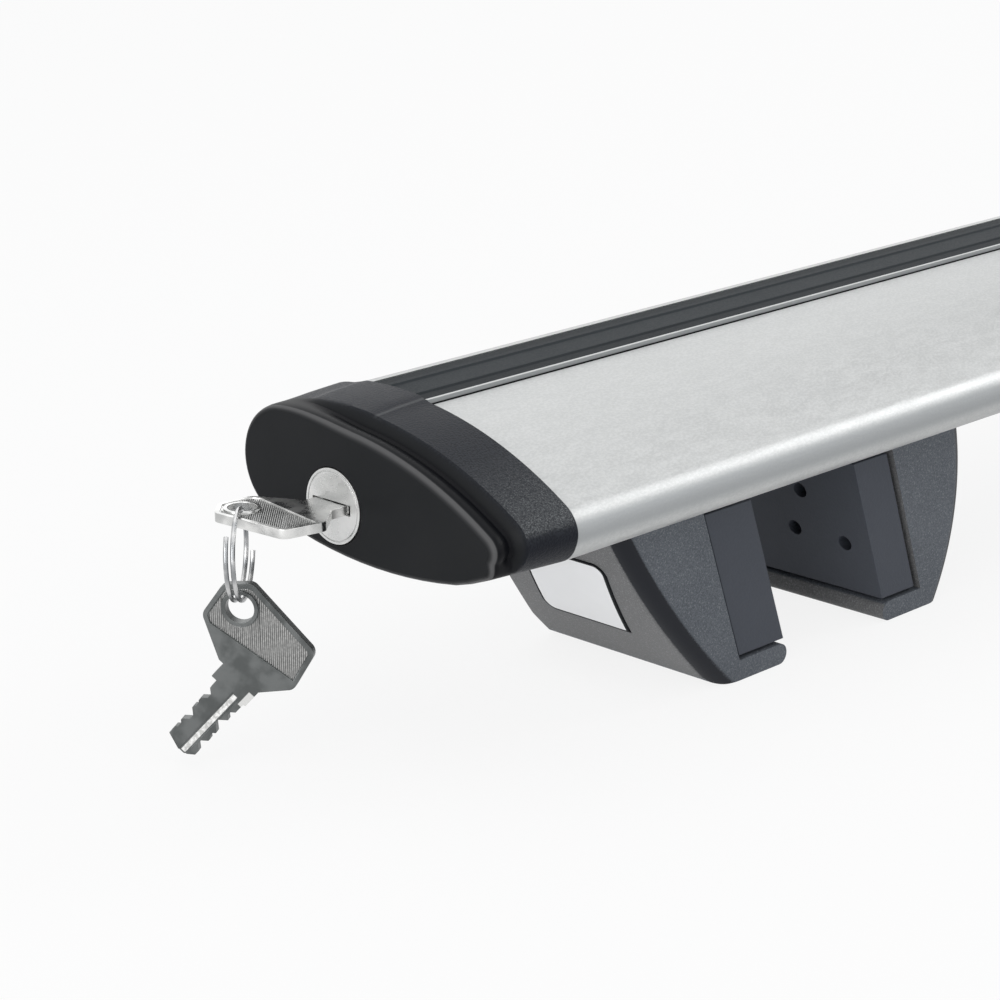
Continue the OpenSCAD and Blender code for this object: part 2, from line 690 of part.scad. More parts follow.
// Slims the back edge of the outer jaw towards the bar
module back_bevel() {
  z = jaw_low + 1.2;
  run = -0.91;
  n = [-1, 1, run + back_lean];
  translate([outer_side_c[0] - sqrt(outer_side_r ^ 2 - (z - outer_side_c[1]) ^ 2), back_y, z])
    rotate(a = acos(n[2] / norm(n)), v = cross([0, 0, 1], n))
      translate([-big / 4, -big / 4, 0]) cube(big / 2);
}
module outer_jaw() {
  corner = [outer_side_c[0] - sqrt(outer_side_r ^ 2 - (outer_side_c[1] - jaw_low) ^ 2), jaw_low];
  seat = seat_x(outer_seat, jaw_screw_z);
  difference() {
    intersection() {
      across_bar(front_y, back_y) outer_jaw_outline();
      jaw_drum(outer_side_c, outer_side_r);
      under_half(mould_fit);
    }
    across_bar(front_y - 1, back_y + 1)
      corner_cut(corner, unit(corner - outer_side_c), [0, -1], outer_corner_r);
    back_bevel();
    // Recess of the plain plate
    intersection() {
      along_bar(0, outer_seat) badge_outline(0.15);
      difference() {
        jaw_drum(outer_side_c, outer_side_r + 10);
        jaw_drum(outer_side_c, outer_side_r - badge_depth);
      }
    }
    anchor_pocket(outer_anchor_x, outer_tang_x);
    jaw_screw_hole(outer_tang_x, 1);
    rod(seat - jaw_screw_head_h - jaw_screw_sink, outer_grip, jaw_screw_head_r + mould_fit,
      [ch_c, jaw_screw_z]);
  }
}
// Everything below the bar's underside
module under_half(gap) {
  difference() {
    block(-50, big, -big, big, jaw_low - 10, belly_z + 12);
    translate([-60, belly_c[0], belly_c[1]]) rotate([0, 90, 0])
      cylinder(h = big + 120, r = belly_r + gap, $fn = 360);
  }
}
module pad_outline(x0, x1, low, top) {
  polygon([[seat_x(x0, low), low], [seat_x(x1, low), low], [seat_x(x1, top), top], [seat_x(x0, top), top]]);
}
module outer_pad() {
  low = seat_low + pad_lift;
  difference() {
    across_bar(front_y + 0.4, back_y - 0.4)
      pad_outline(outer_seat + mould_fit, outer_grip, low, pad_top);
    // Rebate that leaves a thin shadow line beside the jaw
    across_bar(front_y - 1, front_y + 3)
      pad_outline(outer_seat - 1, outer_seat + 0.6, low - 1, pad_top + 1);
  }
}
module inner_jaw_outline() {
  polygon(concat(
    [[inner_side + 5, jaw_top], [seat_x(inner_seat, jaw_top), jaw_top],
      [seat_x(inner_seat, seat_low), seat_low]],
    hook_end(seat_x(inner_grip, seat_low) - hook_over, -1),
    [[inner_side + 5, jaw_low]]));
}
module inner_jaw() {
  corner = [inner_side_c[0] + sqrt(inner_side_r ^ 2 - (inner_side_c[1] - jaw_low) ^ 2), jaw_low];
  seat = seat_x(inner_seat, jaw_screw_z);
  difference() {
    intersection() {
      across_bar(front_y, back_y) inner_jaw_outline();
      jaw_drum(inner_side_c, inner_side_r);
      under_half(mould_fit);
    }
    across_bar(front_y - 1, back_y + 1)
      corner_cut(corner, unit(corner - inner_side_c), [0, -1], inner_corner_r);
    anchor_pocket(inner_anchor_x, inner_tang_x);
    jaw_screw_hole(inner_tang_x, -1);
    rod(inner_grip, seat + jaw_screw_head_h + jaw_screw_sink, jaw_screw_head_r + mould_fit,
      [ch_c, jaw_screw_z]);
  }
}
module inner_pad() {
  low = seat_low + pad_lift;
  difference() {
    across_bar(front_y + 0.4, back_y - 0.4)
      pad_outline(inner_grip, inner_seat - mould_fit, low, pad_top);
    across_bar(front_y - 1, front_y + 5)
      pad_outline(inner_seat - 1.7, inner_seat + 1, low - 1, pad_top + 1);
    // Blind holes in the gripping face
    for (p = pad_holes) translate([seat_x(inner_grip, p[1]) - 2, p[0], p[1]])
      rotate([0, 90, 0]) cylinder(h = 7, r = pad_hole_r);
  }
}
// Places of the holes as shares of the pad's width and height
pad_holes = [for (p = [[0.355, 0.717], [0.435, 0.459], [0.157, 0.443]])
  [front_y + p[0] * foot_w, jaw_low + p[1] * foot_h]];

module anchor(x, tang_x) {
  s = slide_fit;
  block(x, x + anchor_len, ch_c - channel_w / 2 + s, ch_c + channel_w / 2 - s, ch_lip_top + s, ch_top - s);
  x0 = x + anchor_end;
  x1 = x + anchor_len - anchor_end;
  block(x0, x1, ch_c - channel_mouth / 2 + s, ch_c + channel_mouth / 2 - s, belly_z - 2,
    ch_lip_top + s + e);
  block(x0, x1, ch_c - neck_plate_w / 2, ch_c + neck_plate_w / 2, belly_z - neck_plate_t,
    belly_z - mould_fit);
  block(tang_x, tang_x + tang_t, ch_c - tang_w / 2, ch_c + tang_w / 2, tang_low, belly_z - 3);
}
module outer_anchor() {
  difference() {
    anchor(outer_anchor_x, outer_tang_x);
    rod(outer_anchor_x - 1, outer_anchor_x + anchor_len + 1, screw_d / 2 + 0.15, [ch_c, anchor_z]);
    rod(outer_tang_x - 1, outer_tang_x + tang_t + 1, jaw_screw_r, [ch_c, jaw_screw_z]);
  }
}
module inner_anchor() {
  x1 = inner_anchor_x + anchor_len;
  difference() {
    anchor(inner_anchor_x, inner_tang_x);
    rod(inner_anchor_x - 1, x1 + 1, screw_d / 2 + 0.15, [ch_c, anchor_z]);
    block(x1 - nut_t, x1 + 1, ch_c - nut_hole, ch_c + nut_hole, anchor_z - nut_hole, anchor_z + nut_hole);
    rod(inner_tang_x - 1, inner_tang_x + tang_t + 1, jaw_screw_r, [ch_c, jaw_screw_z]);
  }
}
module clamp_nut() {
  x1 = inner_anchor_x + anchor_len;
  difference() {
    block(x1 - nut_t, x1 - slide_fit, ch_c - nut_w / 2, ch_c + nut_w / 2,
      anchor_z - nut_w / 2, anchor_z + nut_w / 2);
    rod(x1 - nut_t - 1, x1 + 1, screw_d / 2 + run_fit, [ch_c, anchor_z]);
  }
}
module clamp_screw() {
  x = head_x;
  difference() {
    union() {
      rod(x - head_h, x, screw_d * 5 / 6, [ch_c, anchor_z]);
      rod(x - e, x + screw_len, screw_d / 2, [ch_c, anchor_z]);
    }
    // Hexagon socket
    translate([x - head_h - 1, ch_c, anchor_z]) rotate([0, 90, 0])
      cylinder(h = head_h * 0.6 + 1, d = screw_d * 5 / 6 / cos(30), $fn = 6);
  }
}
module screw_washer() {
  difference() {
    rod(head_x, head_x + washer_t, washer_r, [ch_c, anchor_z]);
    rod(head_x - 1, head_x + washer_t + 1, screw_d / 2 + 0.2, [ch_c, anchor_z]);
  }
}
module jaw_screw(tang_x, seat, s) {
  // The head seats in the counterbore behind the pad, the shank ends in the tang
  x0 = seat - s * (jaw_screw_head_h + jaw_screw_sink);
  x1 = s > 0 ? tang_x + 1 : tang_x + tang_t - 1;
  difference() {
    union() {
      rod(min(x0, x1), max(x0, x1), jaw_screw_r, [ch_c, jaw_screw_z]);
      rod(min(x0, x0 + s * jaw_screw_head_h), max(x0, x0 + s * jaw_screw_head_h),
        jaw_screw_head_r, [ch_c, jaw_screw_z]);
    }
    translate([s > 0 ? x0 + 1 : x0 - jaw_screw_head_h - 1, ch_c, jaw_screw_z]) rotate([0, 90, 0])
      cylinder(h = jaw_screw_head_h, d = 4.6, $fn = 6);
  }
}
module badge_plate() {
  intersection() {
    along_bar(0, outer_seat) badge_outline(0);
    difference() {
      jaw_drum(outer_side_c, outer_side_r + badge_proud);
      jaw_drum(outer_side_c, outer_side_r - badge_depth + 0.05);
    }
  }
}

module left_end_cap() { color(black_plastic) at_left() end_cap(); }
module right_end_cap() { color(black_plastic) at_right() end_cap(); }
module left_lock_sleeve() { color(zinc) at_left() lock_sleeve(); }
module right_lock_sleeve() { color(zinc) at_right() lock_sleeve(); }
module left_lock_plug() { color(nickel) at_left() lock_plug(); }
module right_lock_plug() { color(nickel) at_right() lock_plug(); }
module left_lock_cam() { color(steel) at_left() lock_cam(); }
module right_lock_cam() { color(steel) at_right() lock_cam(); }
module left_cam_screw() { color(steel) at_left() cam_screw(); }
module right_cam_screw() { color(steel) at_right() cam_screw(); }
module left_outer_anchor() { color(zinc) at_left() outer_anchor(); }
module right_outer_anchor() { color(zinc) at_right() outer_anchor(); }
module left_outer_jaw() { color(dark_nylon) at_left() outer_jaw(); }
module right_outer_jaw() { color(dark_nylon) at_right() outer_jaw(); }
module left_outer_pad() { color(rubber) at_left() outer_pad(); }
module right_outer_pad() { color(rubber) at_right() outer_pad(); }
module left_outer_jaw_screw() {
  color(steel) at_left() jaw_screw(outer_tang_x, seat_x(outer_seat, jaw_screw_z), 1);
}
module right_outer_jaw_screw() {
  color(steel) at_right() jaw_screw(outer_tang_x, seat_x(outer_seat, jaw_screw_z), 1);
}
module left_badge_plate() { color(plate_white) at_left() badge_plate(); }
module right_badge_plate() { color(plate_white) at_right() badge_plate(); }
module left_clamp_screw() { color(steel) at_left() clamp_screw(); }
module right_clamp_screw() { color(steel) at_right() clamp_screw(); }
module left_screw_washer() { color(steel) at_left() screw_washer(); }
module right_screw_washer() { color(steel) at_right() screw_washer(); }
module left_clamp_nut() { color(steel) at_left() clamp_nut(); }
module right_clamp_nut() { color(steel) at_right() clamp_nut(); }
module left_inner_anchor() { color(zinc) at_left() inner_anchor(); }
module right_inner_anchor() { color(zinc) at_right() inner_anchor(); }
module left_inner_jaw() { color(dark_nylon) at_left() inner_jaw(); }
module right_inner_jaw() { color(dark_nylon) at_right() inner_jaw(); }
module left_inner_pad() { color(rubber) at_left() inner_pad(); }
module right_inner_pad() { color(rubber) at_right() inner_pad(); }
module left_inner_jaw_screw() {
  color(steel) at_left() jaw_screw(inner_tang_x, seat_x(inner_seat, jaw_screw_z), -1);
}
module right_inner_jaw_screw() {
  color(steel) at_right() jaw_screw(inner_tang_x, seat_x(inner_seat, jaw_screw_z), -1);
}
module key() { color(nickel) at_left() key_shape(); }
module split_ring() { color(nickel) at_left() split_ring_shape(); }
module spare_key() { color(nickel) at_left() spare_key_shape(); }

crossbar_profile();
slot_strip();
left_end_cap();
left_lock_sleeve();
left_lock_plug();
left_lock_cam();
left_cam_screw();
left_outer_anchor();
left_outer_jaw();
left_outer_pad();
left_outer_jaw_screw();
left_badge_plate();
left_clamp_screw();
left_screw_washer();
left_clamp_nut();
left_inner_anchor();
left_inner_jaw();
left_inner_pad();
left_inner_jaw_screw();
key();
split_ring();
spare_key();
right_end_cap();
right_lock_sleeve();
right_lock_plug();
right_lock_cam();
right_cam_screw();
right_outer_anchor();
right_outer_jaw();
right_outer_pad();
right_outer_jaw_screw();
right_badge_plate();
right_clamp_screw();
right_screw_washer();
right_clamp_nut();
right_inner_anchor();
right_inner_jaw();
right_inner_pad();
right_inner_jaw_screw();
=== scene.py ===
import json
import math

import bmesh
import bpy
from mathutils import Euler, Matrix, Vector

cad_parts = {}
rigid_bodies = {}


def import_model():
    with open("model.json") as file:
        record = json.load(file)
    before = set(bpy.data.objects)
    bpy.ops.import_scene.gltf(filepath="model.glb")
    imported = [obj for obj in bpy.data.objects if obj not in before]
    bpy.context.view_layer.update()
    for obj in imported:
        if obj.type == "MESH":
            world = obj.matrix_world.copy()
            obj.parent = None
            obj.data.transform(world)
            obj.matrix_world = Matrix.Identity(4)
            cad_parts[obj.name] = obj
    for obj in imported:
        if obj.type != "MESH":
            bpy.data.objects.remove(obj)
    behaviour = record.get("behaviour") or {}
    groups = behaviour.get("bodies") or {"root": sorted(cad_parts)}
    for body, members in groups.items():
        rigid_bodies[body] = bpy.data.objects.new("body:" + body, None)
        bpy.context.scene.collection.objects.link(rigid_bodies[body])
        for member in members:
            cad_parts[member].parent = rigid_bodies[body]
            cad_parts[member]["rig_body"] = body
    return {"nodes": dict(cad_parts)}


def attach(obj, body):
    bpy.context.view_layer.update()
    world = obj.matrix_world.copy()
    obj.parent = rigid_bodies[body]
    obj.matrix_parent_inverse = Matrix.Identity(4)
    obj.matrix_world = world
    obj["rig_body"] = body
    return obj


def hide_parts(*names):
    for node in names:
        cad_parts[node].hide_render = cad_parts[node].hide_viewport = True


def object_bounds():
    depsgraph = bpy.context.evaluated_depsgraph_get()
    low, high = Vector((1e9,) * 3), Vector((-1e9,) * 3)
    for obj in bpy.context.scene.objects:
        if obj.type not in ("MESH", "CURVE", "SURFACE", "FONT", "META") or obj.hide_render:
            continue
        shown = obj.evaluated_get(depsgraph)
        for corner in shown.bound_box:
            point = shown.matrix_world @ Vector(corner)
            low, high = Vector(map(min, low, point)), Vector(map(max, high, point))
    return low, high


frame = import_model()
cad_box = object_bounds()

# Camera. It stands off the left end on the trailing side, a little above the bar, and looks
# along it to the right, as the photographer did with a long lens.
camera_at = (-0.9528, -0.4121, 0.1539)
camera_turn_degrees = (72.493, 0.469, -45.322)
camera_lens = 101.9
camera = bpy.data.objects.new("camera", bpy.data.cameras.new("camera"))
camera.data.lens = camera_lens
camera.data.sensor_width = 36
camera.data.clip_start = 0.05
camera.data.clip_end = 60
camera.location = camera_at
camera.rotation_euler = Euler([math.radians(turn) for turn in camera_turn_degrees])
bpy.context.scene.collection.objects.link(camera)
bpy.context.scene.camera = camera
bpy.context.scene.view_settings.view_transform = "Standard"


# Studio. A pale floor under the feet and soft boxes round the bar, all a long way off, with a
# white background for the camera and for what the metal mirrors.
class Tone:
    """A number, colour or vector that changes over a surface, held by one node socket."""

    def __init__(self, finish, socket):
        self.finish = finish
        self.socket = socket

    def _with(self, operation, a, b):
        return self.finish.add("ShaderNodeMath", {"operation": operation}, {0: a, 1: b})

    def __add__(self, other):
        return self._with("ADD", self, other)

    def __radd__(self, other):
        return self._with("ADD", other, self)

    def __sub__(self, other):
        return self._with("SUBTRACT", self, other)

    def __rsub__(self, other):
        return self._with("SUBTRACT", other, self)

    def __mul__(self, other):
        return self._with("MULTIPLY", self, other)

    def __rmul__(self, other):
        return self._with("MULTIPLY", other, self)

    def __lt__(self, other):
        return self._with("LESS_THAN", self, other)


class Finish:
    """A material or a world, and the one way in which its nodes are added and joined."""

    def __init__(self, owner):
        owner.use_nodes = True
        self.owner = owner
        self.tree = owner.node_tree
        self.tree.nodes.clear()

    def add(self, kind, settings=None, sockets=None, out=0):
        """Adds a node with its settings, then the values or links of its sockets."""
        node = self.tree.nodes.new(kind)
        for name, value in (settings or {}).items():
            setattr(node, name, value)
        for name, value in (sockets or {}).items():
            socket = node.inputs[name]
            if isinstance(value, Tone):
                self.tree.links.new(value.socket, socket)
            elif socket.type == "RGBA":
                socket.default_value = (*value, 1)
            else:
                socket.default_value = value
        return Tone(self, node.outputs[out]) if node.outputs else None

    def mix(self, share, low, high):
        """Low where the share is 0, high where it is 1."""
        return self.add("ShaderNodeMix", {"data_type": "RGBA"}, {0: share, 6: low, 7: high}, out=2)

    def step(self, tone, low, high):
        """A soft edge: 0 below low, 1 above high."""
        return self.add("ShaderNodeMapRange", {"interpolation_type": "SMOOTHSTEP"},
                        {"Value": tone, "From Min": low, "From Max": high})


def white_for_the_lens(finish, seen, felt):
    """Mixes what the camera, mirrors and glass see with what lights the object."""
    rays = finish.add("ShaderNodeLightPath").socket.node.outputs
    share = 0
    for name in ("Is Camera Ray", "Is Glossy Ray", "Is Transmission Ray"):
        ray = Tone(finish, rays[name])
        share = finish.add("ShaderNodeMath", {"operation": "MAXIMUM"}, {0: share, 1: ray})
    return finish.add("ShaderNodeMixShader", {}, {0: share, 1: felt, 2: seen})


white = (1.0, 1.0, 1.0)
sky_blue_white = (0.97, 0.98, 1.0)
sky_level = 0.42
world = bpy.data.worlds.new("studio")
bpy.context.scene.world = world
sky = Finish(world)
sky_seen = sky.add("ShaderNodeBackground", {}, {"Color": white, "Strength": 1.0})
sky_felt = sky.add("ShaderNodeBackground", {}, {"Color": sky_blue_white, "Strength": sky_level})
sky.add("ShaderNodeOutputWorld", {}, {"Surface": white_for_the_lens(sky, sky_seen, sky_felt)})

floor_size = 40
floor_gap = 0.0002
paper_colour = (0.88, 0.88, 0.88)
paper_glow_share = 0.85
floor_shape = bmesh.new()
bmesh.ops.create_grid(floor_shape, x_segments=1, y_segments=1, size=floor_size,
                      matrix=Matrix.Translation((0, 0, cad_box[0].z - floor_gap)))
floor_mesh = bpy.data.meshes.new("floor")
floor_shape.to_mesh(floor_mesh)
floor_shape.free()
floor = bpy.data.objects.new("floor", floor_mesh)
bpy.context.scene.collection.objects.link(floor)
paper = Finish(bpy.data.materials.new("floor_paper"))
paper_lit = paper.add("ShaderNodeBsdfDiffuse", {}, {"Color": paper_colour})
paper_glow = paper.add("ShaderNodeEmission", {}, {"Color": white, "Strength": 1.0})
paper_seen = paper.add("ShaderNodeMixShader", {}, {0: paper_glow_share, 1: paper_lit, 2: paper_glow})
paper.add("ShaderNodeOutputMaterial", {}, {"Surface": white_for_the_lens(paper, paper_seen, paper_lit)})
floor_mesh.materials.append(paper.owner)


def soft_box(name, place, aim, width, height, power):
    """A rectangular lamp at a place, turned towards its aim."""
    lamp = bpy.data.lights.new(name, "AREA")
    lamp.shape = "RECTANGLE"
    lamp.size = width
    lamp.size_y = height
    lamp.energy = power
    box = bpy.data.objects.new(name, lamp)
    box.location = place
    box.rotation_euler = (Vector(aim) - Vector(place)).to_track_quat("-Z", "Y").to_euler()
    bpy.context.scene.collection.objects.link(box)


left_end = (-0.56, -0.02, -0.03)
near_run = (-0.4, -0.05, 0)
bar_middle = (0, 0, 0)
soft_box("top_box", (-0.7, 0.1, 1.9), left_end, width=2.8, height=2.4, power=14)
soft_box("near_box", (0.1, -1.9, 0.8), left_end, width=2.4, height=1.6, power=9)
soft_box("end_box", (-2.1, -0.3, 0.3), left_end, width=1.4, height=1.2, power=18)
soft_box("run_box", (1.7, -0.75, 1.3), near_run, width=0.9, height=0.6, power=12)
soft_box("far_box", (1.2, 1.6, 1.2), bar_middle, width=2.2, height=1.8, power=8)


# Crossbar profile. An aluminium extrusion with a hollow wing section and a slot on top, cut to
# length, etched to a fine matt speckle and anodised in satin silver.
weld_gap = 3e-6
flat_angle = math.radians(0.2)
edge_angle = math.radians(28)
shading_angle = math.radians(40)


def dressed(node, finish, slot, edge, rounds=2, handwork=None):
    """A CAD piece with its seams joined and its sharp edges given their small real radius."""
    source = frame["nodes"][node]
    shape = bmesh.new()
    shape.from_mesh(source.data)
    bmesh.ops.remove_doubles(shape, verts=shape.verts, dist=weld_gap)
    bmesh.ops.dissolve_limit(shape, angle_limit=flat_angle, verts=shape.verts,
                             edges=shape.edges, delimit={"NORMAL"})
    sharp = [e for e in shape.edges if len(e.link_faces) == 2 and e.calc_face_angle(0) > edge_angle]
    if edge:
        bmesh.ops.bevel(shape, geom=sharp, offset=edge, offset_type="OFFSET", segments=rounds,
                        profile=0.5, affect="EDGES", clamp_overlap=True, material=-1)
    if handwork:
        handwork(shape)
    for face in shape.faces:
        face.smooth = True
    for side in shape.edges:
        side.smooth = len(side.link_faces) == 2 and side.calc_face_angle(0) < shading_angle
    return placed(shape, node + "_made", source["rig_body"], finish, slot, node)


def placed(shape, name, body, finish, slot, *stands_for):
    """Turns a shape into a piece that rides on its body and takes the place of its nodes."""
    mesh = bpy.data.meshes.new(name)
    shape.to_mesh(mesh)
    shape.free()
    for one in finish if isinstance(finish, list) else [finish]:
        mesh.materials.append(one.owner)
    piece = bpy.data.objects.new(name, mesh)
    bpy.context.scene.collection.objects.link(piece)
    even = piece.modifiers.new("even", "WEIGHTED_NORMAL")
    even.keep_sharp = True
    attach(piece, body)
    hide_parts(*stands_for)
    return piece


def surface(name, **constants):
    """A new material with one shader, whose unchanging values sit on its own sockets."""
    finish = Finish(bpy.data.materials.new(name))
    sockets = {socket.replace("_", " "): value for socket, value in constants.items()}
    shading = finish.add("ShaderNodeBsdfPrincipled", {}, sockets)
    finish.add("ShaderNodeOutputMaterial", {}, {"Surface": shading})
    places = finish.add("ShaderNodeTexCoord").socket.node.outputs
    finish.shader = shading.socket.node
    finish.place = Tone(finish, places["Object"])
    finish.facing = Tone(finish, places["Normal"])
    return finish


def feed(finish, **tones):
    """Links what changes over a surface to the sockets of its shader."""
    for socket, tone in tones.items():
        finish.tree.links.new(tone.socket, finish.shader.inputs[socket.replace("_", " ")])


def speckle(finish, size, detail=2, stretch=(1, 1, 1), rough=0.5):
    """Noise whose spots are about size metres across."""
    scaled = finish.add("ShaderNodeMapping", {}, {"Vector": finish.place, "Scale": stretch})
    return finish.add("ShaderNodeTexNoise", {},
                      {"Vector": scaled, "Scale": 1 / size, "Detail": detail, "Roughness": rough})


def contrast(finish, tone, low=0.38, high=0.64):
    """Spreads noise, which keeps close to a half, over the whole range."""
    return finish.step(tone, low, high)


def bumps(finish, height, depth, strength):
    """A normal for grain that is depth metres deep."""
    return finish.add("ShaderNodeBump", {}, {"Height": height, "Distance": depth, "Strength": strength})


def split(finish, vector):
    """The three numbers of a vector."""
    sides = finish.add("ShaderNodeSeparateXYZ", {}, {"Vector": vector}).socket.node.outputs
    return [Tone(finish, side) for side in sides]


def band(finish, tone, rise, fall):
    """A mask that goes up over the two values of rise and down again over those of fall."""
    return finish.step(tone, *rise) * (1 - finish.step(tone, *fall))


groove_sides = ((-0.01045, -0.01035), (-0.0098, -0.0097))
groove_top = (-0.001, -0.0008)
# Facing of the flank that is painted greyer as shade.
flank_facing_up = ((-0.5, -0.05), (0.3, 0.62))


def anodised():
    """Satin silver with a fine etched speckle, with painted shade greying the flank and darkening the
    groove.
    """
    dark_silver, light_silver = (0.445, 0.455, 0.455), (0.575, 0.583, 0.581)
    painted_flank_shade = (0.3, 0.315, 0.325)
    # Painted shade for the groove.
    painted_groove_shade = (0.02, 0.021, 0.022)
    finish = surface("anodised_aluminium", Metallic=0.75, Specular_IOR_Level=0.3,
                     Specular_Tint=(0.72, 0.72, 0.72))
    grain = contrast(finish, speckle(finish, size=0.0005, stretch=(0.6, 1, 1), rough=0.7))
    etch = contrast(finish, speckle(finish, size=0.002, detail=3, stretch=(0.25, 1, 1)))
    cloud = speckle(finish, size=0.05, stretch=(0.3, 1, 1))
    across, height = split(finish, finish.place)[1:]
    # The groove is painted dark as shade, and the flank greyer as shade.
    groove = band(finish, across, *groove_sides) * (1 - finish.step(height, *groove_top))
    flank = band(finish, split(finish, finish.facing)[2], *flank_facing_up)
    tint = finish.mix(cloud * 0.3 + grain * 0.5 + etch * 0.2, dark_silver, light_silver)
    tint = finish.mix(flank * 0.75, tint, painted_flank_shade)
    feed(finish, Base_Color=finish.mix(groove, tint, painted_groove_shade),
         Roughness=0.4 + etch * 0.06 + grain * 0.06,
         Normal=bumps(finish, grain + etch, depth=0.00002, strength=0.5))
    return finish


dressed("crossbar_profile", anodised(), "anodised_aluminium", edge=0.00025)


# Slot strip. An extruded rubber strip with two faint ridges, pressed into the slot's mouth
# along the whole bar and slit where an accessory goes in.
def rubber(name, dark, light, grain, sheen, crown=0):
    """Rubber, a little paler over a strip that is crown metres either side of the middle."""
    finish = surface(name, Specular_IOR_Level=sheen)
    spots = contrast(finish, speckle(finish, size=grain, detail=3))
    cloud = speckle(finish, size=0.02, detail=3)
    shade = cloud * 0.6 + spots * 0.3
    if crown:
        across = split(finish, finish.place)[1]
        paler_middle = 1 - finish.step(across * across, 0, crown ** 2)
        shade = shade + paler_middle * 0.75
    feed(finish, Base_Color=finish.mix(shade, dark, light),
         Roughness=0.5 + spots * 0.1 + cloud * 0.08,
         Normal=bumps(finish, spots, depth=0.00003, strength=0.5))
    return finish


strip_rubber = rubber("strip_rubber", dark=(0.012, 0.0145, 0.0165), light=(0.032, 0.037, 0.041),
                      grain=0.0004, sheen=0.045, crown=0.007)
dressed("slot_strip", strip_rubber, "strip_rubber", edge=0.00012)


# End caps. Moulded in black plastic with a fine spark-eroded texture: a face plate, a cove
# behind it and a collar that covers the sawn end of the bar.
face_at = 0.59
collar_end = (0.5820, 0.5838)
cove_ends = ((0.5838, 0.5844), (0.5886, 0.5889))
# Where the painted highlight round the face plate starts and ends.
rim_ends = ((0.5888, 0.5891), (0.5894, face_at))
crease_sides = ((0.0087, 0.0094), (0.0094, 0.0101))
bend_facing = (0.3, 0.5)
under_facing = (-0.15, 0.45)


def squared(edge):
    """Squares the places of a soft edge, so that it serves both ends or both sides."""
    return [place ** 2 for place in edge]


def cap_plastic():
    """Black plastic: smooth face plate with a painted highlight round its rim and painted shade in the
    cove, and a grained collar with painted highlights on its creases and bend and painted shade
    underneath.
    """
    dark_face, light_face = (0.0085, 0.0095, 0.0108), (0.0135, 0.0142, 0.0155)
    dark_collar, light_collar = (0.008, 0.0095, 0.0132), (0.027, 0.03, 0.037)
    painted_rim_highlight = (0.09, 0.09, 0.092)
    painted_crease_highlight = (0.1, 0.104, 0.108)
    painted_bend_highlight = (0.19, 0.2, 0.205)
    shaded_collar = (0.006, 0.0075, 0.0125)
    shaded_cove = (0.003, 0.0034, 0.0048)
    finish = surface("black_plastic", Specular_IOR_Level=0.09)
    along, across = split(finish, finish.place)[:2]
    off = along * along
    beside = across * across
    collar = 1 - finish.step(off, *squared(collar_end))
    cove = band(finish, off, *map(squared, cove_ends))
    rim = band(finish, off, *map(squared, rim_ends))
    crease = band(finish, beside, *map(squared, crease_sides)) * collar
    ahead, up = split(finish, finish.facing)[1:]
    bend = finish.step(0 - ahead * up, *bend_facing) * (ahead < 0)
    under = 1 - finish.step(up, *under_facing)
    grit = contrast(finish, speckle(finish, size=0.00045))
    fine = speckle(finish, size=0.00025)
    glint = contrast(finish, speckle(finish, size=0.00028, detail=1), low=0.5, high=0.7)
    cloud = speckle(finish, size=0.012, detail=3)
    # The paler band round the face plate is a painted highlight.
    face = finish.mix(rim, finish.mix(cloud, dark_face, light_face), painted_rim_highlight)
    face = finish.mix(cove, face, shaded_cove)
    sleeve = finish.mix(cloud * 0.3 + grit * 0.6, dark_collar, light_collar)
    # Painted highlights along the two creases of the collar.
    sleeve = finish.mix(crease * 0.6, sleeve, painted_crease_highlight)
    # A painted highlight, with glints, along the bend of the collar.
    sleeve = finish.mix(bend * (glint * 0.55 + grit * 0.15 + 0.12), sleeve, painted_bend_highlight)
    sleeve = finish.mix(under * 0.8, sleeve, shaded_collar)
    feed(finish, Base_Color=finish.mix(collar, face, sleeve),
         Roughness=0.42 + cloud * 0.08 + collar * (grit * 0.1 - 0.06),
         Normal=bumps(finish, fine * 0.25 + collar * grit, depth=0.00005, strength=0.6))
    return finish


face_round = 0.00048
face_round_steps = 4
face_tolerance = 0.00001
brink_angle = math.radians(8)


def cap_moulding(shape):
    """Widens the rounding round the face plate."""
    brink = [e for e in shape.edges if len(e.link_faces) == 2
             and all(abs(abs(v.co.x) - face_at) < face_tolerance for v in e.verts)
             and e.calc_face_angle(0) > brink_angle]
    bmesh.ops.bevel(shape, geom=brink, offset=face_round, offset_type="OFFSET",
                    segments=face_round_steps, profile=0.5, affect="EDGES",
                    clamp_overlap=True, material=-1)


black_plastic = cap_plastic()
for side in ("left", "right"):
    dressed(side + "_end_cap", black_plastic, "black_plastic", edge=0.0002, handwork=cap_moulding)


# Locks. A nickel-plated disc and plug in a die-cast sleeve; a steel cam held by a small screw
# turns up through the slot floor.
def hairlines(finish):
    """Fine scratches, long across the bar and close together along it."""
    return speckle(finish, size=0.0006, detail=4, stretch=(1, 0.08, 1), rough=0.7)


def plated(name, dark, light, gloss, scratch, patch=0.004):
    """Plated metal with hairline scratches, and patches of haze about patch metres across."""
    finish = surface(name, Metallic=1.0)
    hair = hairlines(finish)
    haze = contrast(finish, speckle(finish, size=patch))
    feed(finish, Base_Color=finish.mix(haze, dark, light),
         Roughness=gloss + hair * 0.12 + haze * 0.1,
         Normal=bumps(finish, hair, depth=scratch, strength=0.4))
    return finish


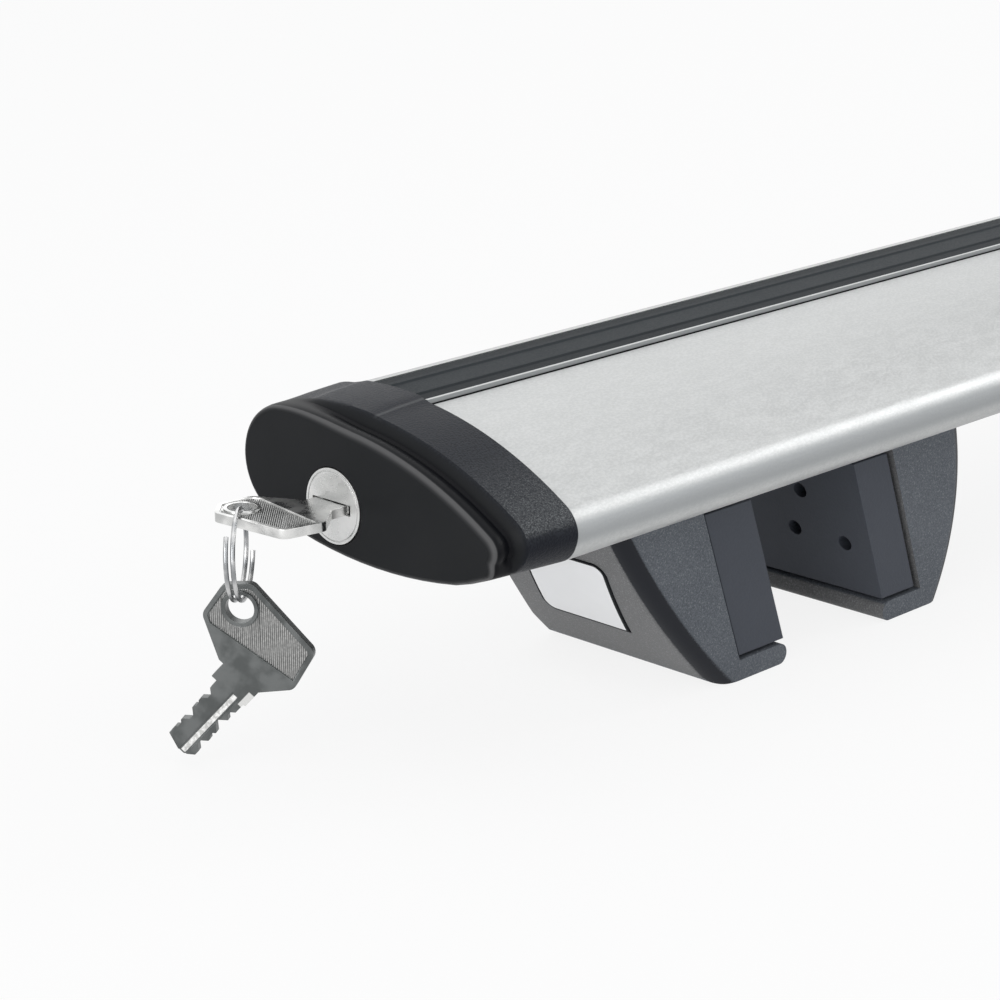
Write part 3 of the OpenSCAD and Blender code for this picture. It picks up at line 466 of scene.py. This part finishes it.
nickel = plated("nickel_plate", dark=(0.66, 0.665, 0.66), light=(0.72, 0.72, 0.715),
                gloss=0.2, scratch=0.00001)
zinc = plated("zinc_casting", dark=(0.36, 0.37, 0.37), light=(0.45, 0.46, 0.46),
              gloss=0.42, scratch=0.00003)
steel = plated("zinc_plated_steel", dark=(0.42, 0.43, 0.42), light=(0.55, 0.56, 0.54),
               gloss=0.3, scratch=0.00001)
for side in ("left", "right"):
    dressed(side + "_lock_plug", nickel, "nickel", edge=0.00015)
    dressed(side + "_lock_sleeve", zinc, "zinc", edge=0.0001)
    dressed(side + "_lock_cam", steel, "steel", edge=0.0001)
    dressed(side + "_cam_screw", steel, "steel", edge=0.0001)


# Keys on their split ring. Stamped from nickel-plated brass, with ribs rolled into the sunk
# panels of the bow and a milled groove along the blade; the ring is hardened wire.
key_half = 0.001
panel_depth = 0.00025
panel_border = 0.00012
groove_depth = 0.0003
groove_border = 0.00028
depth_tolerance = 0.00003
level_cosine = 0.99
cut_tolerance = 1e-7
rib_pitch = 0.00042
rib_height = 0.00013
bow_index, ribs_index, groove_index = 0, 1, 2


def key_work(normal, middle, run):
    """Rolls ribs into the panels of a key and gives panels and groove their own finish."""

    def at_depth(face, depth):
        height = abs((face.calc_center_median() - middle).dot(normal))
        level = abs(face.normal.dot(normal)) > level_cosine
        return level and abs(height - key_half + depth) < depth_tolerance

    def rolled(shape, panel, crest, way):
        """Cuts a panel across at every half pitch and lifts every other line into a rib."""
        reach = [(v.co - middle).dot(run) for f in panel for v in f.verts]
        ridge = set()
        for line in range(int((max(reach) - min(reach)) / rib_pitch * 2)):
            cut_at = middle + run * (min(reach) + (line + 0.5) * rib_pitch / 2)
            edges = dict.fromkeys(e for f in panel for e in f.edges)
            points = dict.fromkeys(v for f in panel for v in f.verts)
            cut = bmesh.ops.bisect_plane(shape, geom=[*panel, *edges, *points], dist=cut_tolerance,
                                         plane_co=cut_at, plane_no=run)
            panel = [g for g in cut["geom"] if isinstance(g, bmesh.types.BMFace)]
            if line % 2:
                ridge |= {g for g in cut["geom_cut"] if isinstance(g, bmesh.types.BMVert)}
        for point in ridge:
            if point.is_valid:
                point.co += normal * way * rib_height
                point[crest] = 1

    def work(shape):
        crest = shape.verts.layers.float.new("crest")
        groove = [f for f in shape.faces if at_depth(f, groove_depth)]
        bmesh.ops.inset_region(shape, faces=groove, thickness=groove_border, depth=0,
                               use_even_offset=True)
        for face in groove:
            face.material_index = groove_index
        for way in (1, -1):
            panel = [f for f in shape.faces
                     if at_depth(f, panel_depth) and f.normal.dot(normal) * way > 0]
            bmesh.ops.inset_region(shape, faces=panel, thickness=panel_border, depth=0,
                                   use_even_offset=True)
            for face in panel:
                face.material_index = ribs_index
            rolled(shape, panel, crest, way)
        ribs = [f for f in shape.faces if f.material_index == ribs_index]
        bmesh.ops.triangulate(shape, faces=ribs)
    return work


key_normal = Vector((0, 0, 1))
key_middle = Vector((-0.59, -0.004, -0.019))
key_run = Vector((0.7071, -0.7071, 0))
spare_turn = math.radians(-56)
spare_tilt = math.radians(90 - 42.3)
spare_frame = Matrix.Rotation(spare_turn, 3, "Z") @ Matrix.Rotation(math.pi / 2, 3, "X")
spare_hang = spare_frame @ Matrix.Rotation(spare_tilt, 3, "Z")
spare_normal = spare_frame @ Vector((0, 0, 1))
spare_run = spare_frame @ Vector((1, 0, 0))
spare_middle = Vector((-0.609037, 0.003223, -0.037452))
blade_along = spare_hang @ Vector((1, 0, 0))
blade_across = spare_hang @ Vector((0, 1, 0))
bow_hole_at = (0.0154, -0.0102)
milled_flat = ((-0.0008, 0.0031), (0.0027, 0.0047))
milled_edge = 0.0002


def ribbed(name, valley, ridge):
    """Rolled ribs: painted shade in the valleys and a painted highlight on the crests."""
    finish = surface(name, Metallic=1.0)
    height = finish.add("ShaderNodeAttribute", {"attribute_name": "crest"}, out=2)
    nicks = contrast(finish, speckle(finish, size=0.0006))
    feed(finish, Base_Color=finish.mix(height * (0.65 + nicks * 0.35), valley, ridge),
         Roughness=0.3 + nicks * 0.12)
    return finish


def shaded_blade_finish():
    """Nickel painted dark grey as shade, with the flat milled beside the groove left bright as a
    painted reflection.
    """
    shade_dark_nickel, shade_light_nickel = (0.1, 0.106, 0.106), (0.15, 0.157, 0.157)
    painted_milled_reflection = (0.66, 0.66, 0.65)
    finish = surface("painted_shade_nickel", Metallic=1.0)
    haze = contrast(finish, speckle(finish, size=0.005, detail=3))
    hair = hairlines(finish)
    arm = finish.add("ShaderNodeVectorMath", {"operation": "SUBTRACT"},
                     {0: finish.place, 1: tuple(spare_middle)})
    along, across = [finish.add("ShaderNodeVectorMath", {"operation": "DOT_PRODUCT"},
                                {0: arm, 1: tuple(way)}, out=1)
                     for way in (blade_along, blade_across)]
    flat = 1
    for reach, (start, end) in zip((along + bow_hole_at[0], bow_hole_at[1] - across), milled_flat):
        flat = band(finish, reach, (start, start + milled_edge), (end - milled_edge, end)) * flat
    shaded_body = finish.mix(haze, shade_dark_nickel, shade_light_nickel)
    # The blade is painted dark as shade; the milled flat stays bright as a painted reflection.
    feed(finish, Base_Color=finish.mix(flat, shaded_body, painted_milled_reflection),
         Roughness=0.3 + haze * 0.06 + hair * 0.06,
         Normal=bumps(finish, hair, depth=0.00001, strength=0.4))
    return finish


key_nickel = plated("key_nickel", dark=(0.5, 0.505, 0.5), light=(0.76, 0.76, 0.75),
                    gloss=0.16, scratch=0.00001, patch=0.006)
bright_nickel = plated("bright_nickel", dark=(0.6, 0.6, 0.59), light=(0.85, 0.85, 0.84),
                       gloss=0.2, scratch=0.00001, patch=0.0008)
# The ring's nickel is made darker to paint the dark reflections along its wire.
ring_nickel = plated("ring_nickel", dark=(0.3, 0.31, 0.32), light=(0.6, 0.6, 0.6),
                     gloss=0.2, scratch=0.00001)
key_ribs = ribbed("ribbed_nickel", valley=(0.14, 0.145, 0.145), ridge=(0.66, 0.66, 0.65))
# Both rib finishes paint shade in the valleys and highlights on the crests.
spare_ribs = ribbed("painted_light_ribs", valley=(0.12, 0.122, 0.122), ridge=(0.58, 0.58, 0.57))
dressed("key", [key_nickel, key_ribs, bright_nickel], "nickel", edge=0.0001,
        handwork=key_work(key_normal, key_middle, key_run))
dressed("spare_key", [shaded_blade_finish(), spare_ribs, bright_nickel], "nickel", edge=0.0001,
        handwork=key_work(spare_normal, spare_middle, spare_run))
dressed("split_ring", ring_nickel, "nickel", edge=0)


# Feet. Jaws moulded in grey glass-filled nylon with a coarse grain, faced with rubber pads and
# carried by cast anchors that slide in the channel under the bar.
pit_size = 0.0005
rounded_facing = (0.01, 0.06)
outside_facing = (0.3, 0.55)


def grained_nylon():
    """Coarse sparkling grain on the flats, left smooth on the rounded front edges; the edges are
    painted dark as a dark reflection and the outboard faces lighter as painted light.
    """
    dark_front, light_front = (0.06, 0.069, 0.083), (0.17, 0.184, 0.203)
    lit_side_dark, lit_side_light = (0.115, 0.117, 0.12), (0.24, 0.242, 0.245)
    painted_edge_shade = (0.009, 0.0105, 0.015)
    finish = surface("grained_nylon", Specular_IOR_Level=0.18)
    across, ahead = split(finish, finish.facing)[:2]
    pits = finish.add("ShaderNodeTexVoronoi", {"feature": "SMOOTH_F1"},
                      {"Vector": finish.place, "Scale": 1 / pit_size, "Smoothness": 0.6})
    grain = pits + speckle(finish, size=pit_size * 0.7) * 0.6
    grit = contrast(finish, speckle(finish, size=0.00032, detail=1))
    sparkle = contrast(finish, speckle(finish, size=0.0004, detail=0), low=0.62, high=0.72)
    cloud = speckle(finish, size=0.02, detail=3)
    turned = across * across * ahead * ahead + (grit - 0.5) * 0.015
    rounded = finish.step(turned, *rounded_facing) * (ahead < 0)
    # The outboard faces get a lighter copy of the nylon as painted light.
    outside = finish.step(across * across, *outside_facing)
    amount = cloud * 0.3 + grit * 0.35 + sparkle * 0.5
    flat = finish.mix(outside, finish.mix(amount, dark_front, light_front),
                      finish.mix(amount, lit_side_dark, lit_side_light))
    # The rounded front edges are painted dark as a reflection of dark surroundings.
    feed(finish, Base_Color=finish.mix(rounded, flat, painted_edge_shade),
         Roughness=0.42 + grit * 0.1 - rounded * 0.06,
         Normal=bumps(finish, (1 - rounded * 0.9) * grain, depth=0.00007, strength=0.6))
    return finish


dark_nylon = grained_nylon()
pad_rubber = rubber("pad_rubber", dark=(0.044, 0.05, 0.064), light=(0.066, 0.073, 0.088),
                    grain=0.0006, sheen=0.22)
cast = plated("cast_aluminium", dark=(0.44, 0.45, 0.46), light=(0.54, 0.55, 0.56),
              gloss=0.45, scratch=0.00005)
for side in ("left", "right"):
    for part in ("outer_jaw", "inner_jaw"):
        dressed(side + "_" + part, dark_nylon, "dark_nylon", edge=0.0006)
    for part in ("outer_pad", "inner_pad"):
        dressed(side + "_" + part, pad_rubber, "pad_rubber", edge=0.0005)
    for part in ("outer_anchor", "inner_anchor"):
        dressed(side + "_" + part, cast, "cast_aluminium", edge=0.0002)
    for part in ("outer_jaw_screw", "inner_jaw_screw", "clamp_screw", "screw_washer", "clamp_nut"):
        dressed(side + "_" + part, steel, "steel", edge=0.0001)


# Plain plate on the outer jaw. A moulded white label with a high gloss and rounded corners,
# set in its recess, with a dark line of painted shadow from the gap round its edge.
def glossy(name, colour):
    """Clear-coated plastic, a little uneven in tone."""
    finish = surface(name, Specular_IOR_Level=0.6, Coat_Roughness=0.05)
    cloud = speckle(finish, size=0.01)
    shade = tuple(level * 0.96 for level in colour)
    feed(finish, Base_Color=finish.mix(cloud, colour, shade),
         Roughness=0.12 + cloud * 0.08, Coat_Weight=0.4 + cloud * 0.2)
    return finish


dark_line = 0.0005
flat_cosine = 0.98
label_index, gap_shadow_index = 0, 1


def plate_edge(shape):
    """The rounded edge is painted dark, a fine line of painted shadow from the gap round the label."""
    front = max(shape.faces, key=lambda f: f.calc_area()).normal.copy()
    flats = [f for f in shape.faces if abs(f.normal.dot(front)) > flat_cosine]
    for face in shape.faces:
        face.material_index = gap_shadow_index
    bmesh.ops.inset_region(shape, faces=flats, thickness=dark_line, depth=0, use_even_offset=True)
    for face in flats:
        face.material_index = label_index


white_label = glossy("white_label", (0.93, 0.94, 0.955))
# Painted shadow for the gap round the label.
painted_gap_shadow = rubber("painted_gap_shadow", dark=(0.009, 0.01, 0.012), light=(0.014, 0.015, 0.018),
                    grain=0.0004, sheen=0.05)
for side in ("left", "right"):
    dressed(side + "_badge_plate", [white_label, painted_gap_shadow], "white_plastic", edge=0.0004,
            rounds=3, handwork=plate_edge)
